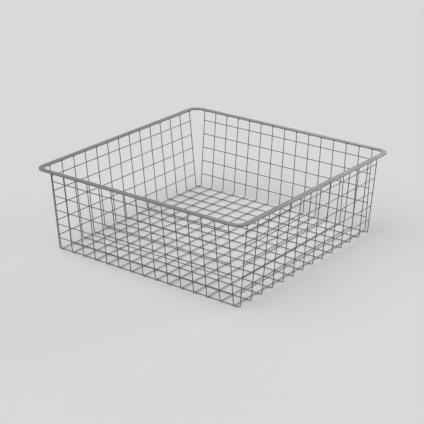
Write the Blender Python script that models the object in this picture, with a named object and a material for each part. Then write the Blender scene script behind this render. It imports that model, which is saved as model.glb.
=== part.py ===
"""A square wire drawer basket that hangs by a flat rim.

Two layers of U-shaped wires cross on the floor: the crosswise ones lie underneath and the
lengthwise ones on top. Straight row wires tie the walls together. All the U-shaped wires end under
the inner edge of a flat strip with rounded corners, which is the rim and the runner flange.

Metres, +Z up. The origin is in the middle of the footprint, at the height of the surface that the
basket stands on. The front wall faces -Y and the right wall faces +X.
"""

import math

import bpy

# Rim strip: flat wire, so its long edges are almost half-round
RIM_SIDE_X = 0.500
RIM_SIDE_Y = 0.500
RIM_STRIP_WIDTH = 0.012
RIM_THICKNESS = 0.002
RIM_CORNER_RADIUS = 0.026
RIM_EDGE_ROUNDING = 0.00095

# Whole basket: the walls' wires meet the floor this far inside the rim's outer edge
OVERALL_HEIGHT = 0.1714
WALL_FOOT_INSET = 0.0278

# Wire stock, its bends and its welds; the wires' ends keep clear of the flat of the rim's flange
WIRE_DIAMETER = 0.0017
BEND_RADIUS = 0.0025
WELD_GAP = 0.0001
FLANGE_CLEARANCE = 0.0001

# Mesh of the floor and of the upright wires, with the outermost wires this far from the walls' feet
LENGTHWISE_COUNT = 15
LENGTHWISE_MARGIN = 0.0099
CROSSWISE_COUNT = 14
CROSSWISE_MARGIN = 0.0062

# Rows of the walls, evenly spaced from the lowest one up to the one nearest the rim
ROW_COUNT = 5
LOWEST_ROW_HEIGHT = 0.0281
TOP_ROW_BELOW_RIM = 0.0204
ROW_OVERRUN = 0.0009

# Facets
BEND_STEPS = 4
CORNER_STEPS = 8
WIRE_BEVEL_RESOLUTION = 2
EDGE_BEVEL_RESOLUTION = 1

# Paint
PAINT_COLOUR = (0.26, 0.26, 0.26, 1.0)
PAINT_ROUGHNESS = 0.45

# Places worked out from the sizes above
WIRE_RADIUS = WIRE_DIAMETER / 2
LOWER_LAYER_Z = WIRE_RADIUS
UPPER_LAYER_Z = LOWER_LAYER_Z + WIRE_DIAMETER + WELD_GAP
RIM_UNDERSIDE_Z = OVERALL_HEIGHT - RIM_THICKNESS
WIRE_TOP_Z = RIM_UNDERSIDE_Z - WELD_GAP
FLANGE_WIDTH = RIM_STRIP_WIDTH - RIM_EDGE_ROUNDING
SEAT_X = RIM_SIDE_X / 2 - FLANGE_WIDTH - FLANGE_CLEARANCE - WIRE_RADIUS
SEAT_Y = RIM_SIDE_Y / 2 - FLANGE_WIDTH - FLANGE_CLEARANCE - WIRE_RADIUS
HALF_FOOT_X = RIM_SIDE_X / 2 - WALL_FOOT_INSET
HALF_FOOT_Y = RIM_SIDE_Y / 2 - WALL_FOOT_INSET
LAYER_STEP = WIRE_DIAMETER + WELD_GAP
HALF_FLOOR_X = HALF_FOOT_X - LENGTHWISE_MARGIN
HALF_FLOOR_Y = HALF_FOOT_Y - CROSSWISE_MARGIN
TOP_ROW_HEIGHT = RIM_UNDERSIDE_Z - TOP_ROW_BELOW_RIM


class Wall:
    """One pair of facing walls, seen in the upright plane of a wire that climbs both.

    half_foot is half the distance between the two wires' axes where they would meet the floor
    layer at foot_z, and half_top the same under the rim.
    """

    def __init__(self, half_foot, foot_z, half_top):
        self.half_foot = half_foot
        self.foot_z = foot_z
        self.half_top = half_top
        self.lean = math.atan2(half_top - half_foot, WIRE_TOP_Z - foot_z)

    def offset_at(self, height):
        """Distance of the upright wires' axes from the middle of the basket at this height."""
        return self.half_foot + (height - self.foot_z) * math.tan(self.lean)


SIDE_WALLS = Wall(HALF_FOOT_X, LOWER_LAYER_Z, SEAT_X)
END_WALLS = Wall(HALF_FOOT_Y, UPPER_LAYER_Z, SEAT_Y)


def clear_scene():
    for obj in list(bpy.data.objects):
        bpy.data.objects.remove(obj, do_unlink=True)


def painted_steel(name):
    """A matt grey paint over the wire and the strip."""
    material = bpy.data.materials.new(name)
    material.use_nodes = True
    shader = material.node_tree.nodes["Principled BSDF"]
    shader.inputs["Base Color"].default_value = PAINT_COLOUR
    shader.inputs["Roughness"].default_value = PAINT_ROUGHNESS
    shader.inputs["Metallic"].default_value = 0.0
    return material


def spread(low, high, count):
    """This many evenly spaced places, the first at low and the last at high."""
    return [low + (high - low) * index / (count - 1) for index in range(count)]


def arc(centre, radius, start, end, steps):
    """Points of an arc in a plane, both ends included."""
    angles = [start + (end - start) * step / steps for step in range(steps + 1)]
    return [(centre[0] + radius * math.cos(a), centre[1] + radius * math.sin(a)) for a in angles]


def u_profile(wall):
    """(across, height) points of a wire that comes down one wall, crosses the floor and goes up."""
    corner_angle = math.pi / 2 + wall.lean
    tangent = BEND_RADIUS / math.tan(corner_angle / 2)
    centre = (wall.half_foot - tangent, wall.foot_z + BEND_RADIUS)
    bend = arc(centre, BEND_RADIUS, -math.pi / 2, -wall.lean, BEND_STEPS)
    half = bend + [(wall.half_top, WIRE_TOP_Z)]
    other_half = [(-across, height) for across, height in reversed(half)]
    return other_half + half


def add_wire(name, points, material, collection):
    """A round wire along these points, closed at both ends."""
    curve = bpy.data.curves.new(name, "CURVE")
    curve.dimensions = "3D"
    curve.bevel_depth = WIRE_RADIUS
    curve.bevel_resolution = WIRE_BEVEL_RESOLUTION
    curve.use_fill_caps = True
    spline = curve.splines.new("POLY")
    spline.points.add(len(points) - 1)
    for point, place in zip(spline.points, points):
        point.co = (*place, 1.0)
    curve.materials.append(material)
    obj = bpy.data.objects.new(name, curve)
    collection.objects.link(obj)
    return obj


def add_lengthwise_wires(material, collection):
    """Upper layer: down the front wall, back along the floor and up the back wall."""
    profile = u_profile(END_WALLS)
    places = spread(-HALF_FLOOR_X, HALF_FLOOR_X, LENGTHWISE_COUNT)
    for index, x in enumerate(places, start=1):
        points = [(x, across, height) for across, height in profile]
        add_wire(f"lengthwise_wire_{index:02d}", points, material, collection)


def add_crosswise_wires(material, collection):
    """Lower layer: down the left wall, across the floor and up the right wall."""
    profile = u_profile(SIDE_WALLS)
    places = spread(-HALF_FLOOR_Y, HALF_FLOOR_Y, CROSSWISE_COUNT)
    for index, y in enumerate(places, start=1):
        points = [(across, y, height) for across, height in profile]
        add_wire(f"crosswise_wire_{index:02d}", points, material, collection)


def row_offset(wall, height, step):
    """Where a row lies, a layer's step square to the wall: outwards if step is positive."""
    return wall.offset_at(height) + step / math.cos(wall.lean)


def add_wall_rows(material, collection):
    """The rows belong to the floor's layers: outside the end walls and inside the side walls."""
    reach_x = HALF_FLOOR_X + ROW_OVERRUN
    reach_y = HALF_FLOOR_Y + ROW_OVERRUN
    heights = spread(LOWEST_ROW_HEIGHT, TOP_ROW_HEIGHT, ROW_COUNT)
    for row, height in enumerate(heights, start=1):
        y = row_offset(END_WALLS, height, LAYER_STEP)
        x = row_offset(SIDE_WALLS, height, -LAYER_STEP)
        for wall, sign in (("front", -1), ("back", 1)):
            points = [(-reach_x, sign * y, height), (reach_x, sign * y, height)]
            add_wire(f"{wall}_row_{row}", points, material, collection)
        for wall, sign in (("left", -1), ("right", 1)):
            points = [(sign * x, -reach_y, height), (sign * x, reach_y, height)]
            add_wire(f"{wall}_row_{row}", points, material, collection)


def rounded_rectangle(half_x, half_y, radius):
    """Corner points of a rectangle whose four corners are arcs, anticlockwise."""
    points = []
    for quarter, (sign_x, sign_y) in enumerate(((1, 1), (-1, 1), (-1, -1), (1, -1))):
        centre = (sign_x * (half_x - radius), sign_y * (half_y - radius))
        start = quarter * math.pi / 2
        points += arc(centre, radius, start, start + math.pi / 2, CORNER_STEPS)
    return points


def add_rim_strip(material, collection):
    """A flat strip bent on edge into a square with rounded corners."""
    curve = bpy.data.curves.new("rim_strip", "CURVE")
    curve.dimensions = "2D"
    curve.fill_mode = "BOTH"
    curve.extrude = RIM_THICKNESS / 2 - RIM_EDGE_ROUNDING
    curve.bevel_depth = RIM_EDGE_ROUNDING
    curve.bevel_resolution = EDGE_BEVEL_RESOLUTION
    curve.offset = -RIM_EDGE_ROUNDING
    for inset in (0.0, RIM_STRIP_WIDTH):
        outline = rounded_rectangle(
            RIM_SIDE_X / 2 - inset, RIM_SIDE_Y / 2 - inset, RIM_CORNER_RADIUS - inset
        )
        spline = curve.splines.new("POLY")
        spline.points.add(len(outline) - 1)
        for point, place in zip(spline.points, outline):
            point.co = (*place, 0.0, 1.0)
        spline.use_cyclic_u = True
    curve.materials.append(material)
    rim = bpy.data.objects.new("rim_strip", curve)
    rim.location.z = RIM_UNDERSIDE_Z + RIM_THICKNESS / 2
    collection.objects.link(rim)
    return rim


def main():
    clear_scene()
    collection = bpy.data.collections.new("wire_basket")
    bpy.context.scene.collection.children.link(collection)
    wire_paint = painted_steel("painted_wire")
    rim_paint = painted_steel("painted_strip")
    add_rim_strip(rim_paint, collection)
    add_lengthwise_wires(wire_paint, collection)
    add_crosswise_wires(wire_paint, collection)
    add_wall_rows(wire_paint, collection)


main()
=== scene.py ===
"""Dresses a square wire drawer basket: welded round wire and a flat strip rim, powder-coated grey.

Every wire and the rim replace the plain solid of the same piece, read from the frame, and the
welds between them are added. Sizes that the frame doesn't give are properties of the add-on.
"""

import math
import random

import bmesh
import bpy
from bpy.props import FloatProperty, FloatVectorProperty, IntProperty, PointerProperty
from mathutils import Matrix, Vector


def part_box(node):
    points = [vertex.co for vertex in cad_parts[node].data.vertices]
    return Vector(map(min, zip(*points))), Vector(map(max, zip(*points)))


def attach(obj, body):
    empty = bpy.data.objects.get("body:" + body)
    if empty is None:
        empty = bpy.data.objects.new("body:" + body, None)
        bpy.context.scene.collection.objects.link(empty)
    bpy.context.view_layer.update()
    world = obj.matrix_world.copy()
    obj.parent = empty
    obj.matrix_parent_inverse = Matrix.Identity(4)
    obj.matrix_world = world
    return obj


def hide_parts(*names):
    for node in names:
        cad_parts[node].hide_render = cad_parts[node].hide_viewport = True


bl_info = {
    "name": "Wire Drawer Basket",
    "version": (1, 0, 0),
    "blender": (4, 5, 0),
    "location": "View3D > Sidebar > Basket",
    "description": "Builds the wires, rim, welds and stage of a powder-coated wire drawer basket",
    "category": "Add Mesh",
}

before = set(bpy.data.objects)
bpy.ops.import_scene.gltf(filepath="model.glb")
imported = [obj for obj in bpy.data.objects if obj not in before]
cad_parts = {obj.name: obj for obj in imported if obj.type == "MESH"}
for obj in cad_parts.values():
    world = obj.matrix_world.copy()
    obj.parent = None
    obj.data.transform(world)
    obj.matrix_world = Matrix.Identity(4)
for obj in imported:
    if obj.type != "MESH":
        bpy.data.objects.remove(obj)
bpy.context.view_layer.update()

LENGTHWISE_NODES = sorted(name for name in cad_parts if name.startswith("lengthwise_wire"))
CROSSWISE_NODES = sorted(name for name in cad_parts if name.startswith("crosswise_wire"))
END_WALL_NAMES = ("front", "back")
SIDE_WALL_NAMES = ("left", "right")
UP = Vector((0.0, 0.0, 1.0))
X_AXIS = 0
Y_AXIS = 1

# A wall's rows lie outside or inside its uprights
OUTSIDE = 1
INSIDE = -1

# Numbers of the Mix node's sockets, which share their names
MIX_FLOAT_A = 2
MIX_FLOAT_B = 3
MIX_FLOAT_RESULT = 0
MIX_COLOUR_A = 6
MIX_COLOUR_B = 7
MIX_COLOUR_RESULT = 2

# Nearly all of a noise texture's values lie between these
NOISE_LOW = 0.3
NOISE_HIGH = 0.7

# Width in mm of the sensor that the camera's focal length is given for
SENSOR_WIDTH = 36.0


def middle(node):
    """The middle of a node's box, which is on the axis of a straight wire."""
    low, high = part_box(node)
    return (low + high) / 2


def row_nodes(wall):
    """The rows of a wall, from the floor up."""
    return sorted(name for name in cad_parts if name.startswith(f"{wall}_row"))


WIRE_DIAMETER = (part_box(LENGTHWISE_NODES[0])[1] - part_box(LENGTHWISE_NODES[0])[0]).x
WIRE_RADIUS = WIRE_DIAMETER / 2
LOWER_LAYER_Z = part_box(CROSSWISE_NODES[0])[0].z + WIRE_RADIUS
UPPER_LAYER_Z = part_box(LENGTHWISE_NODES[0])[0].z + WIRE_RADIUS
LAYER_STEP = UPPER_LAYER_Z - LOWER_LAYER_Z
RIM_LOW, RIM_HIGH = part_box("rim_strip")

# Points of the rim that are nearer to each other than this are one point
MERGE_DISTANCE = WIRE_RADIUS / 100


class WallLine:
    """The slanting line of a wall's uprights, worked out from the wall's lowest and highest rows."""

    def __init__(self, wall, axis, row_side):
        """axis is the one that the wall faces along, and row_side is OUTSIDE or INSIDE."""
        self.axis = axis
        self.row_side = row_side
        rows = row_nodes(wall)
        lowest, highest = middle(rows[0]), middle(rows[-1])
        rise = highest.z - lowest.z
        self.slope = (abs(highest[axis]) - abs(lowest[axis])) / rise
        self.lean = math.atan(self.slope)
        row_shift = row_side * LAYER_STEP / math.cos(self.lean)
        self.at_ground = abs(lowest[axis]) - row_shift - lowest.z * self.slope

    def across(self, height):
        """How far the uprights' axes are from the middle of the basket at this height."""
        return self.at_ground + height * self.slope


END_WALLS = WallLine("back", Y_AXIS, OUTSIDE)
SIDE_WALLS = WallLine("right", X_AXIS, INSIDE)


def srgb(hex_colour):
    """A hex colour as it is seen on screen, turned to the linear values that shaders use."""
    channels = [int(hex_colour[i:i + 2], 16) / 255 for i in (1, 3, 5)]
    return [c / 12.92 if c <= 0.04045 else ((c + 0.055) / 1.055) ** 2.4 for c in channels]


class BasketWireSettings(bpy.types.PropertyGroup):
    """Round steel wire and how it is bent."""

    end_bend_radius: FloatProperty(
        name="End bend radius", description="Radius of a wire's axis at the foot of an end wall",
        default=0.002, min=0.001, unit="LENGTH", precision=4,
    )
    side_bend_radius: FloatProperty(
        name="Side bend radius", description="Radius of a wire's axis at the foot of a side wall",
        default=0.003, min=0.001, unit="LENGTH", precision=4,
    )
    bend_steps: IntProperty(
        name="Bend steps", description="Facets along one bend", default=8, min=2,
    )
    sides: IntProperty(
        name="Sides", description="Facets round a wire", default=16, min=6,
    )
    end_rounding: FloatProperty(
        name="End rounding", description="Rounding of a wire's cut end under its coat",
        default=0.00025, min=0.0, unit="LENGTH", precision=5,
    )
    rise_into_rim: FloatProperty(
        name="Rise into rim", description="How far a wire's end reaches past the rim's underside",
        default=0.0006, min=0.0, unit="LENGTH", precision=5,
    )


class BasketRimSettings(bpy.types.PropertyGroup):
    """Flat strip bent on edge."""

    strip_width: FloatProperty(
        name="Strip width", description="Width of the flat strip",
        default=0.012, min=0.004, unit="LENGTH", precision=4,
    )
    corner_radius: FloatProperty(
        name="Corner radius", description="Radius of the rim's outer edge at its corners",
        default=0.026, min=0.014, unit="LENGTH", precision=4,
    )
    edge_rounding: FloatProperty(
        name="Edge rounding", description="Rounding of the strip's rolled edges",
        default=0.00045, min=0.0001, unit="LENGTH", precision=5,
    )
    edge_steps: IntProperty(
        name="Edge steps", description="Facets of one rounded edge", default=5, min=1,
    )
    corner_steps: IntProperty(
        name="Corner steps", description="Facets of one corner", default=24, min=4,
    )


class BasketWeldSettings(bpy.types.PropertyGroup):
    """Resistance welds, which squeeze a small collar of metal out between two wires."""

    collar_radius: FloatProperty(
        name="Collar radius", description="Radius of the collar between two crossing wires",
        default=0.00112, min=0.0002, unit="LENGTH", precision=5,
    )
    collar_half_height: FloatProperty(
        name="Collar half height", description="Half the height of the collar, along the squeeze",
        default=0.00085, min=0.0002, unit="LENGTH", precision=5,
    )
    foot_reach: FloatProperty(
        name="Foot reach", description="Half the length of the weld at a wire's end, along the rim",
        default=0.0023, min=0.0002, unit="LENGTH", precision=5,
    )
    foot_depth: FloatProperty(
        name="Foot depth", description="Half the depth of the weld at a wire's end, across the rim",
        default=0.0014, min=0.0002, unit="LENGTH", precision=5,
    )
    foot_half_height: FloatProperty(
        name="Foot half height", description="Half the height of the weld at a wire's end",
        default=0.0012, min=0.0002, unit="LENGTH", precision=5,
    )
    foot_rise: FloatProperty(
        name="Foot rise", description="How far that weld's middle lies above the rim's underside",
        default=0.0004, min=0.0, unit="LENGTH", precision=5,
    )
    unevenness: FloatProperty(
        name="Unevenness", description="How far a weld's size strays from the others'",
        subtype="FACTOR", default=0.12, min=0.0, max=0.5,
    )
    seed: IntProperty(
        name="Seed", description="Picks another set of uneven welds", default=4, min=0,
    )
    around: IntProperty(
        name="Facets around", description="Facets round one weld", default=8, min=6,
    )
    upward: IntProperty(
        name="Facets upward", description="Facets from one pole of a weld to the other",
        default=6, min=4,
    )
    rim_fineness: IntProperty(
        name="Rim fineness", description="How many times finer the facets of the rim's welds are",
        default=2, min=1,
    )


class BasketFinishSettings(bpy.types.PropertyGroup):
    """Colours and surface of the powder coat."""

    coat_colour: FloatVectorProperty(
        name="Coat colour", description="Grey of the powder coat",
        subtype="COLOR", size=3, min=0.0, max=1.0, default=srgb("#6A6A6A"),
    )
    # The weld colour is painted shade: a dark grey that stands in for the shade at the crossings and
    # under the rim
    weld_shade_colour: FloatVectorProperty(
        name="Weld colour", description="Grey of the coat over a weld's burnt metal",
        subtype="COLOR", size=3, min=0.0, max=1.0, default=srgb("#282828"),
    )
    roughness: FloatProperty(
        name="Roughness", description="Roughness of the satin coat",
        default=0.46, min=0.0, max=1.0, subtype="FACTOR",
    )
    gloss_spread: FloatProperty(
        name="Gloss spread", description="How far the roughness wanders to either side",
        subtype="FACTOR", default=0.04, min=0.0, max=0.2,
    )
    peel_size: FloatProperty(
        name="Peel size", description="Distance between two waves of the coat's orange peel",
        default=0.0012, min=0.0001, unit="LENGTH", precision=5,
    )
    peel_height: FloatProperty(
        name="Peel height", description="Height of the orange peel",
        default=0.00003, min=0.0, unit="LENGTH", precision=6,
    )
    cloud_size: FloatProperty(
        name="Cloud size", description="Distance over which the coat's tone wanders",
        default=0.06, min=0.001, unit="LENGTH", precision=3,
    )
    tone_spread: FloatProperty(
        name="Tone spread", description="How far the coat's tone wanders to either side",
        subtype="FACTOR", default=0.07, min=0.0, max=0.5,
    )


class BasketStageSettings(bpy.types.PropertyGroup):
    """Floor, light and camera."""

    floor_colour: FloatVectorProperty(
        name="Floor colour", description="Colour of the plain floor",
        subtype="COLOR", size=3, min=0.0, max=1.0, default=srgb("#D2D2D0"),
    )
    floor_size: FloatProperty(
        name="Floor size", description="Side of the floor", default=60.0, min=2.0, unit="LENGTH",
    )
    bounce_colour: FloatVectorProperty(
        name="Bounce colour", description="Colour of the floor for the light that it throws back",
        subtype="COLOR", size=3, min=0.0, max=1.0, default=srgb("#8C8C8A"),
    )
    backdrop_strength: FloatProperty(
        name="Backdrop strength", description="Brightness that the backdrop shows to the eye",
        default=0.68, min=0.0,
    )
    fill_strength: FloatProperty(
        name="Fill strength", description="Strength of the even light from all round",
        default=0.02, min=0.0,
    )
    overhead_power: FloatProperty(
        name="Overhead power", description="Power of the broad light from above", default=3.0,
        min=0.0,
    )
    overhead_spread: FloatProperty(
        name="Overhead spread", description="Angle that the broad light from above fills",
        subtype="ANGLE", default=math.radians(70.0),
    )
    overhead_source: FloatVectorProperty(
        name="Overhead source", description="Direction that the light from above comes from",
        subtype="XYZ", size=3, default=(-0.25, -0.5, 1.0),
    )
    rear_power: FloatProperty(
        name="Rear power", description="Power of the low light behind the basket",
        default=0.7, min=0.0,
    )
    rear_source: FloatVectorProperty(
        name="Rear source", description="Direction that the rear light comes from",
        subtype="XYZ", size=3, default=(-0.35, 0.95, 0.27),
    )
    side_power: FloatProperty(
        name="Side power", description="Power of the low light behind the right wall",
        default=2.0, min=0.0,
    )
    side_source: FloatVectorProperty(
        name="Side source", description="Direction that the side light comes from",
        subtype="XYZ", size=3, default=(0.5, 0.85, 0.27),
    )
    low_spread: FloatProperty(
        name="Low spread", description="Angle that each low light fills",
        subtype="ANGLE", default=math.radians(30.0),
    )
    camera_place: FloatVectorProperty(
        name="Camera place", description="Where the camera stands", subtype="XYZ", unit="LENGTH",
        size=3, default=(1.4707, -1.8941, 1.0263),
    )
    camera_yaw: FloatProperty(
        name="Camera yaw", description="Turn of the camera about the upright axis", subtype="ANGLE",
        default=math.radians(37.990),
    )
    camera_tilt: FloatProperty(
        name="Camera tilt", description="Tilt of the camera up from looking straight down",
        subtype="ANGLE", default=math.radians(68.063),
    )
    camera_roll: FloatProperty(
        name="Camera roll", description="Roll of the camera about its own view", subtype="ANGLE",
        default=math.radians(-0.369),
    )
    camera_lens: FloatProperty(
        name="Camera lens", description="Focal length in mm on a 36 mm sensor", unit="CAMERA",
        default=110.5,
    )


def add_node(tree, kind, place, inputs=None, **settings):
    """Adds a shader node, sets its settings, and gives each named input a value or a link."""
    node = tree.nodes.new(kind)
    node.location = place
    for name, value in settings.items():
        setattr(node, name, value)
    for socket, value in (inputs or {}).items():
        if isinstance(value, bpy.types.NodeSocket):
            tree.links.new(value, node.inputs[socket])
        else:
            node.inputs[socket].default_value = value
    return node


def put_in_scene(new_object):
    bpy.context.scene.collection.objects.link(new_object)


def powder_coat(name, colour, finish):
    """Polyester powder coat, baked on steel: a satin skin with a faint orange peel.

    Its tone wanders a little from place to place, as the coat's thickness does. The orange peel
    is drawn at its real size of about a millimetre.
    """
    material = bpy.data.materials.get(name)
    if material:
        return material
    material = bpy.data.materials.new(name)
    material.use_nodes = True
    tree = material.node_tree
    tree.nodes.clear()
    place = add_node(tree, "ShaderNodeTexCoord", (-900, 0)).outputs["Object"]
    cloud = add_node(
        tree, "ShaderNodeTexNoise", (-700, 200),
        {"Vector": place, "Scale": 1 / finish.cloud_size, "Detail": 2.0, "Roughness": 0.5},
    )
    dark_tone = [c * (1 - finish.tone_spread) for c in colour] + [1.0]
    light_tone = [min(c * (1 + finish.tone_spread), 1.0) for c in colour] + [1.0]
    tone = add_node(
        tree, "ShaderNodeMix", (-450, 200),
        {"Factor": cloud.outputs["Fac"], MIX_COLOUR_A: dark_tone, MIX_COLOUR_B: light_tone},
        data_type="RGBA",
    )
    gloss = add_node(
        tree, "ShaderNodeMapRange", (-450, 0),
        {"Value": cloud.outputs["Fac"], "From Min": NOISE_LOW, "From Max": NOISE_HIGH,
         "To Min": finish.roughness - finish.gloss_spread,
         "To Max": finish.roughness + finish.gloss_spread},
    )
    peel = add_node(
        tree, "ShaderNodeTexNoise", (-700, -200),
        {"Vector": place, "Scale": 1 / finish.peel_size, "Detail": 1.0, "Roughness": 0.4},
    )
    bump = add_node(
        tree, "ShaderNodeBump", (-250, -200),
        {"Strength": 0.5, "Distance": finish.peel_height, "Height": peel.outputs["Fac"]},
    )
    shader = add_node(
        tree, "ShaderNodeBsdfPrincipled", (0, 0),
        {"Base Color": tone.outputs[MIX_COLOUR_RESULT], "Roughness": gloss.outputs["Result"],
         "Normal": bump.outputs["Normal"], "IOR": 1.5, "Metallic": 0.0},
    )
    add_node(tree, "ShaderNodeOutputMaterial", (300, 0), {"Surface": shader.outputs["BSDF"]})
    return material


def wire_coat():
    finish = bpy.context.scene.basket_finish
    return powder_coat("powder_coated_steel_wire", finish.coat_colour, finish)


def strip_coat():
    finish = bpy.context.scene.basket_finish
    return powder_coat("powder_coated_steel_strip", finish.coat_colour, finish)


def weld_painted_shade_coat():
    """A dark grey coat for the welds. It is painted shade, standing in for the shade at the crossings
    and under the rim.
    """
    finish = bpy.context.scene.basket_finish
    return powder_coat("powder_coated_weld_painted_shade", finish.weld_shade_colour, finish)


def new_edges(made, key="geom"):
    """The edges among what an extrude or a spin made that join only its new vertices."""
    verts = {item for item in made[key] if isinstance(item, bmesh.types.BMVert)}
    edges = [item for item in made[key] if isinstance(item, bmesh.types.BMEdge)]
    return [edge for edge in edges if verts.issuperset(edge.verts)]


def push(mesh, ring, travel):
    """Draws a ring of edges out straight, and gives the ring at the far end."""
    made = bmesh.ops.extrude_edge_only(mesh, edges=ring)
    verts = [item for item in made["geom"] if isinstance(item, bmesh.types.BMVert)]
    bmesh.ops.translate(mesh, verts=verts, vec=travel)
    return new_edges(made)


def turn(mesh, ring, centre, axis, angle, steps):
    """Draws a ring of edges round a bend, and gives the ring at the far end."""
    made = bmesh.ops.spin(
        mesh, geom=ring, cent=centre, axis=axis, dvec=(0.0, 0.0, 0.0), angle=angle,
        steps=steps, use_merge=False, use_normal_flip=False, use_duplicate=False,
    )
    return new_edges(made, "geom_last")


def start_wire(mesh, place, direction, sides):
    """The first ring of a wire, square to its direction."""
    facing = Vector(direction).to_track_quat("Z", "Y").to_matrix().to_4x4()
    bmesh.ops.create_circle(
        mesh, cap_ends=False, segments=sides, radius=WIRE_RADIUS,
        matrix=Matrix.Translation(place) @ facing,
    )
    return list(mesh.edges)


def close_ends(mesh, rings, rounding):
    """Caps the wire's cut ends and rounds their rims."""
    for ring in rings:
        bmesh.ops.edgeloop_fill(mesh, edges=ring)
    edges = [edge for ring in rings for edge in ring]
    bmesh.ops.bevel(
        mesh, geom=edges, offset=rounding, offset_type="OFFSET", segments=2, profile=0.5,
        affect="EDGES", material=-1,
    )


def finish_piece(mesh, name, material, nodes=()):
    """Turns the bmesh into a smooth piece that rides on the basket and stands for these nodes."""
    bmesh.ops.recalc_face_normals(mesh, faces=mesh.faces)
    for face in mesh.faces:
        face.smooth = True
    data = bpy.data.meshes.new(name)
    mesh.to_mesh(data)
    mesh.free()
    data.materials.append(material)
    piece = bpy.data.objects.new(name, data)
    put_in_scene(piece)
    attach(piece, "root")
    if nodes:
        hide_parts(*nodes)


def bent_wire(node, wall_line, layer_z, bend_radius):
    """One U-shaped wire: down a wall, across the floor and up the facing wall."""
    wire = bpy.context.scene.basket_wire
    across = Vector((0.0, 0.0, 0.0))
    across[wall_line.axis] = 1.0
    beside = middle(node)
    beside[wall_line.axis] = 0.0
    beside.z = 0.0
    top_z = RIM_LOW.z + wire.rise_into_rim
    half_foot = wall_line.across(layer_z)
    tangent = bend_radius / math.tan((math.pi / 2 + wall_line.lean) / 2)
    centre_across = half_foot - tangent
    centre_z = layer_z + bend_radius
    bend_top_across = centre_across + bend_radius * math.cos(wall_line.lean)
    bend_top_z = centre_z - bend_radius * math.sin(wall_line.lean)
    climb = across * (wall_line.across(top_z) - bend_top_across) + UP * (top_z - bend_top_z)
    descent = across * climb.dot(across) - UP * climb.z
    bend_angle = math.pi / 2 - wall_line.lean
    spin_axis = across.cross(UP)
    mesh = bmesh.new()
    start = beside - across * wall_line.across(top_z) + UP * top_z
    first = start_wire(mesh, start, descent, wire.sides)
    ring = push(mesh, first, descent)
    near_centre = beside - across * centre_across + UP * centre_z
    ring = turn(mesh, ring, near_centre, spin_axis, bend_angle, wire.bend_steps)
    ring = push(mesh, ring, across * (2 * centre_across))
    far_centre = beside + across * centre_across + UP * centre_z
    ring = turn(mesh, ring, far_centre, spin_axis, bend_angle, wire.bend_steps)
    last = push(mesh, ring, climb)
    close_ends(mesh, [first, last], wire.end_rounding)
    finish_piece(mesh, f"coated_{node}", wire_coat(), [node])


def straight_wire(node):
    """One row wire, as long as the plain one that it stands for."""
    wire = bpy.context.scene.basket_wire
    low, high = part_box(node)
    size = high - low
    axis = X_AXIS if size.x > size.y else Y_AXIS
    travel = Vector((0.0, 0.0, 0.0))
    travel[axis] = size[axis]
    mesh = bmesh.new()
    first = start_wire(mesh, (low + high) / 2 - travel / 2, travel, wire.sides)
    last = push(mesh, first, travel)
    close_ends(mesh, [first, last], wire.end_rounding)
    finish_piece(mesh, f"coated_{node}", wire_coat(), [node])


class WeldStamp:
    """Stamps rounded lumps of squeezed metal into a mesh, each a little unlike the others."""

    def __init__(self, weld, fineness=1):
        """The lumps are stretched from a ball of radius one, with facets to suit the fineness."""
        mesh = bmesh.new()
        bmesh.ops.create_uvsphere(
            mesh, u_segments=weld.around * fineness, v_segments=weld.upward * fineness,
            radius=1.0,
        )
        self.ball = bpy.data.meshes.new("weld_ball")
        mesh.to_mesh(self.ball)
        mesh.free()
        self.unevenness = weld.unevenness
        self.random = random.Random(weld.seed)

    def press(self, mesh, centre, squeeze, radii):
        """Adds one lump. squeeze is the line from wire to wire, or from wire to rim."""
        facing = Vector(squeeze).to_track_quat("Z", "X").to_matrix().to_4x4()
        swell = [radius * (1 + self.unevenness * self.random.uniform(-1, 1)) for radius in radii]
        lump = self.ball.copy()
        lump.transform(Matrix.Translation(centre) @ facing @ Matrix.Diagonal((*swell, 1.0)))
        mesh.from_mesh(lump)
        bpy.data.meshes.remove(lump)

    def put_away(self):
        bpy.data.meshes.remove(self.ball)


class BASKET_OT_lengthwise_wires(bpy.types.Operator):
    """Builds the upper layer: wires that climb the front and back walls"""

    bl_idname = "basket.lengthwise_wires"
    bl_label = "Lengthwise Wires"

    def execute(self, context):
        radius = context.scene.basket_wire.end_bend_radius
        for node in LENGTHWISE_NODES:
            bent_wire(node, END_WALLS, UPPER_LAYER_Z, radius)
        return {"FINISHED"}


class BASKET_OT_crosswise_wires(bpy.types.Operator):
    """Builds the lower layer: wires that climb the left and right walls"""

    bl_idname = "basket.crosswise_wires"
    bl_label = "Crosswise Wires"

    def execute(self, context):
        radius = context.scene.basket_wire.side_bend_radius
        for node in CROSSWISE_NODES:
            bent_wire(node, SIDE_WALLS, LOWER_LAYER_Z, radius)
        return {"FINISHED"}


class BASKET_OT_row_wires(bpy.types.Operator):
    """Builds the straight rows of the four walls"""

    bl_idname = "basket.row_wires"
    bl_label = "Row Wires"

    def execute(self, context):
        for wall in END_WALL_NAMES + SIDE_WALL_NAMES:
            for node in row_nodes(wall):
                straight_wire(node)
        return {"FINISHED"}


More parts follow.
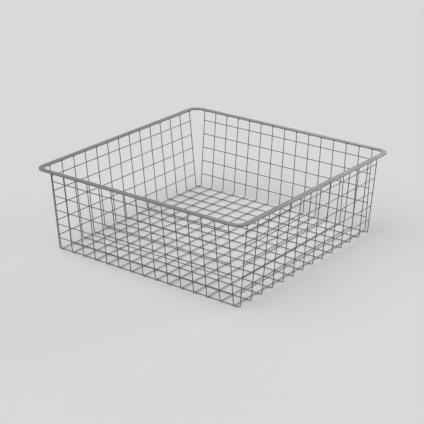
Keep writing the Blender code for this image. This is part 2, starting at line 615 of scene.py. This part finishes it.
class BASKET_OT_rim_strip(bpy.types.Operator):
    """Builds the flat strip that rims the basket"""

    bl_idname = "basket.rim_strip"
    bl_label = "Rim Strip"

    def execute(self, context):
        rim = context.scene.basket_rim
        half = (RIM_HIGH - RIM_LOW) / 2
        centre = (RIM_HIGH + RIM_LOW) / 2
        straight_x = half.x - rim.corner_radius
        straight_y = half.y - rim.corner_radius
        mesh = bmesh.new()
        stand_up = Matrix.Rotation(math.pi / 2, 4, "X")
        size = Matrix.Diagonal((rim.strip_width / 2, half.z, 1.0, 1.0))
        place = Matrix.Translation((centre.x + half.x - rim.strip_width / 2, centre.y, centre.z))
        bmesh.ops.create_grid(
            mesh, x_segments=1, y_segments=1, size=1.0, matrix=place @ stand_up @ size,
        )
        bmesh.ops.bevel(
            mesh, geom=list(mesh.verts), offset=rim.edge_rounding, offset_type="OFFSET",
            segments=rim.edge_steps, profile=0.5, affect="VERTICES", material=-1,
        )
        bmesh.ops.delete(mesh, geom=list(mesh.faces), context="FACES_ONLY")
        ring = list(mesh.edges)
        # The section starts in the middle of the right side and goes round anticlockwise
        for travel, corner in (
            ((0.0, straight_y, 0.0), (straight_x, straight_y, centre.z)),
            ((-2 * straight_x, 0.0, 0.0), (-straight_x, straight_y, centre.z)),
            ((0.0, -2 * straight_y, 0.0), (-straight_x, -straight_y, centre.z)),
            ((2 * straight_x, 0.0, 0.0), (straight_x, -straight_y, centre.z)),
        ):
            ring = push(mesh, ring, travel)
            ring = turn(mesh, ring, corner, UP, math.pi / 2, rim.corner_steps)
        push(mesh, ring, (0.0, straight_y, 0.0))
        bmesh.ops.remove_doubles(mesh, verts=mesh.verts, dist=MERGE_DISTANCE)
        finish_piece(mesh, "coated_rim_strip", strip_coat(), ["rim_strip"])
        return {"FINISHED"}


class BASKET_OT_welds(bpy.types.Operator):
    """Builds the welds of the floor, of each wall and of the rim"""

    bl_idname = "basket.welds"
    bl_label = "Welds"

    def execute(self, context):
        weld = context.scene.basket_weld
        collar = (weld.collar_radius, weld.collar_radius, weld.collar_half_height)
        along_x = (weld.foot_reach, weld.foot_depth, weld.foot_half_height)
        along_y = (weld.foot_depth, weld.foot_reach, weld.foot_half_height)
        xs = [middle(node).x for node in LENGTHWISE_NODES]
        ys = [middle(node).y for node in CROSSWISE_NODES]
        stamp = WeldStamp(weld)
        mesh = bmesh.new()
        for x in xs:
            for y in ys:
                stamp.press(mesh, (x, y, (LOWER_LAYER_Z + UPPER_LAYER_Z) / 2), UP, collar)
        finish_piece(mesh, "floor_welds", weld_painted_shade_coat())
        for wall in END_WALL_NAMES:
            self.weld_wall(wall, END_WALLS, xs, stamp, collar)
        for wall in SIDE_WALL_NAMES:
            self.weld_wall(wall, SIDE_WALLS, ys, stamp, collar)
        stamp.put_away()
        stamp = WeldStamp(weld, weld.rim_fineness)
        mesh = bmesh.new()
        foot_z = RIM_LOW.z + weld.foot_rise
        for sign in (-1, 1):
            for x in xs:
                place = (x, sign * END_WALLS.across(RIM_LOW.z), foot_z)
                stamp.press(mesh, place, UP, along_x)
            for y in ys:
                place = (sign * SIDE_WALLS.across(RIM_LOW.z), y, foot_z)
                stamp.press(mesh, place, UP, along_y)
        finish_piece(mesh, "rim_welds", weld_painted_shade_coat())
        stamp.put_away()
        return {"FINISHED"}

    def weld_wall(self, wall, line, uprights, stamp, collar):
        """The collars where a wall's rows cross its uprights, given by their places along it."""
        along_axis = X_AXIS if line.axis == Y_AXIS else Y_AXIS
        mesh = bmesh.new()
        for node in row_nodes(wall):
            row = middle(node)
            outward = Vector((0.0, 0.0, 0.0))
            outward[line.axis] = math.copysign(1.0, row[line.axis])
            square = (outward * math.cos(line.lean) - UP * math.sin(line.lean)).normalized()
            for place in uprights:
                centre = row - square * (line.row_side * LAYER_STEP / 2)
                centre[along_axis] = place
                stamp.press(mesh, centre, square, collar)
        finish_piece(mesh, f"{wall}_wall_welds", weld_painted_shade_coat())


class BASKET_OT_stage(bpy.types.Operator):
    """Builds the floor, the lights and the camera"""

    bl_idname = "basket.stage"
    bl_label = "Stage"

    def execute(self, context):
        stage = context.scene.basket_stage
        self.add_floor(stage)
        context.scene.world = self.backdrop(stage)
        for name, power, spread, source in (
            ("overhead", stage.overhead_power, stage.overhead_spread, stage.overhead_source),
            ("rear_light", stage.rear_power, stage.low_spread, stage.rear_source),
            ("side_light", stage.side_power, stage.low_spread, stage.side_source),
        ):
            self.add_light(name, power, spread, source)
        context.scene.camera = self.add_camera(stage)
        context.scene.view_settings.view_transform = "Standard"
        return {"FINISHED"}

    def add_floor(self, stage):
        mesh = bmesh.new()
        bmesh.ops.create_grid(mesh, x_segments=1, y_segments=1, size=stage.floor_size / 2)
        data = bpy.data.meshes.new("floor")
        mesh.to_mesh(data)
        mesh.free()
        data.materials.append(self.floor_paint(stage))
        floor = bpy.data.objects.new("floor", data)
        put_in_scene(floor)

    def floor_paint(self, stage):
        """Matt pale paint. It is paler to the eye than to the light, so it bounces less."""
        material = bpy.data.materials.new("matt_painted_floor")
        material.use_nodes = True
        tree = material.node_tree
        tree.nodes.clear()
        tone = add_node(
            tree, "ShaderNodeMix", (-300, 0),
            {"Factor": self.seen_ray(tree), MIX_COLOUR_A: (*stage.bounce_colour, 1.0),
             MIX_COLOUR_B: (*stage.floor_colour, 1.0)},
            data_type="RGBA",
        )
        shader = add_node(
            tree, "ShaderNodeBsdfPrincipled", (0, 0),
            {"Base Color": tone.outputs[MIX_COLOUR_RESULT], "Roughness": 1.0,
             "Specular IOR Level": 0.0},
        )
        add_node(tree, "ShaderNodeOutputMaterial", (300, 0), {"Surface": shader.outputs["BSDF"]})
        return material

    def seen_ray(self, tree):
        """A socket that is 1 for rays that show a surface, and 0 for rays that light one."""
        ray = add_node(tree, "ShaderNodeLightPath", (-900, 0))
        seen = add_node(
            tree, "ShaderNodeMath", (-700, 0),
            {0: ray.outputs["Is Camera Ray"], 1: ray.outputs["Is Glossy Ray"]},
            operation="MAXIMUM",
        )
        seen = add_node(
            tree, "ShaderNodeMath", (-500, 0),
            {0: seen.outputs["Value"], 1: ray.outputs["Is Transmission Ray"]},
            operation="MAXIMUM",
        )
        return seen.outputs["Value"]

    def backdrop(self, stage):
        """An even pale surround, as bright as the floor to the eye, that gives only a little fill."""
        world = bpy.data.worlds.new("studio")
        world.use_nodes = True
        tree = world.node_tree
        tree.nodes.clear()
        strength = add_node(
            tree, "ShaderNodeMix", (-300, 0),
            {"Factor": self.seen_ray(tree), MIX_FLOAT_A: stage.fill_strength,
             MIX_FLOAT_B: stage.backdrop_strength},
            data_type="FLOAT",
        )
        background = add_node(
            tree, "ShaderNodeBackground", (0, 0),
            {"Color": (1.0, 1.0, 1.0, 1.0), "Strength": strength.outputs[MIX_FLOAT_RESULT]},
        )
        add_node(
            tree, "ShaderNodeOutputWorld", (300, 0), {"Surface": background.outputs["Background"]},
        )
        return world

    def add_light(self, name, power, spread, source):
        """A broad, even light from far away in the direction of the source."""
        data = bpy.data.lights.new(name, "SUN")
        data.energy = power
        data.angle = spread
        light = bpy.data.objects.new(name, data)
        light.rotation_euler = Vector(source).to_track_quat("Z", "Y").to_euler()
        put_in_scene(light)

    def add_camera(self, stage):
        data = bpy.data.cameras.new("camera")
        data.sensor_width = SENSOR_WIDTH
        data.lens = stage.camera_lens
        camera = bpy.data.objects.new("camera", data)
        turn_in_place = (
            Matrix.Rotation(stage.camera_yaw, 4, "Z")
            @ Matrix.Rotation(stage.camera_tilt, 4, "X")
            @ Matrix.Rotation(stage.camera_roll, 4, "Z")
        )
        camera.matrix_world = Matrix.Translation(stage.camera_place) @ turn_in_place
        put_in_scene(camera)
        return camera


class BASKET_PT_panel(bpy.types.Panel):
    """Lists the basket's builders and sizes"""

    bl_label = "Wire Drawer Basket"
    bl_space_type = "VIEW_3D"
    bl_region_type = "UI"
    bl_category = "Basket"

    def draw(self, context):
        scene = context.scene
        for settings in (
            scene.basket_wire, scene.basket_rim, scene.basket_weld,
            scene.basket_finish, scene.basket_stage,
        ):
            box = self.layout.box()
            for name in settings.bl_rna.properties.keys():
                if name not in ("rna_type", "name"):
                    box.prop(settings, name)
        for operator in OPERATORS:
            self.layout.operator(operator.bl_idname)


SETTINGS = {
    "basket_wire": BasketWireSettings,
    "basket_rim": BasketRimSettings,
    "basket_weld": BasketWeldSettings,
    "basket_finish": BasketFinishSettings,
    "basket_stage": BasketStageSettings,
}
OPERATORS = (
    BASKET_OT_lengthwise_wires,
    BASKET_OT_crosswise_wires,
    BASKET_OT_row_wires,
    BASKET_OT_rim_strip,
    BASKET_OT_welds,
    BASKET_OT_stage,
)


def register():
    for name, group in SETTINGS.items():
        bpy.utils.register_class(group)
        setattr(bpy.types.Scene, name, PointerProperty(type=group))
    for operator in OPERATORS:
        bpy.utils.register_class(operator)
    bpy.utils.register_class(BASKET_PT_panel)


def unregister():
    bpy.utils.unregister_class(BASKET_PT_panel)
    for operator in reversed(OPERATORS):
        bpy.utils.unregister_class(operator)
    for name, group in SETTINGS.items():
        delattr(bpy.types.Scene, name)
        bpy.utils.unregister_class(group)


def main():
    register()
    bpy.ops.basket.lengthwise_wires()
    bpy.ops.basket.crosswise_wires()
    bpy.ops.basket.row_wires()
    bpy.ops.basket.rim_strip()
    bpy.ops.basket.welds()
    bpy.ops.basket.stage()


if __name__ == "__main__":
    main()
